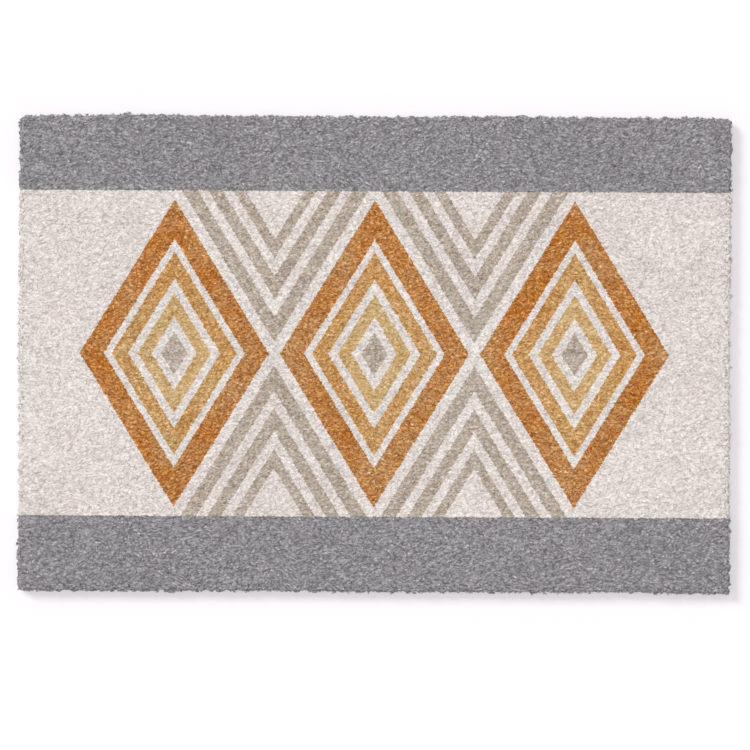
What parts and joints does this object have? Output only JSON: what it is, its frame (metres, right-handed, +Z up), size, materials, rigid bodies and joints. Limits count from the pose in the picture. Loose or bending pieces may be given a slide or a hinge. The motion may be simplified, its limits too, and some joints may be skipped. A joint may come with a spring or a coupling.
{
  "type": "doormat",
  "caption": "Flat rectangular doormat with a short dense pile, soft corners and an uneven cut edge, that lies on the floor.",
  "frame": {"origin": "middle of the underside", "axes": "+X along the mat's length, +Y across it towards the top of the picture, +Z up out of the pile"},
  "size_m": [0.7497, 0.5016, 0.015],
  "materials": {
    "pile": "matt short curled pile, printed with an off-white field, a grey band along each long edge and warm lozenges"
  },
  "bodies": {
    "root": {"mat": "pile"}
  },
  "joints": []
}
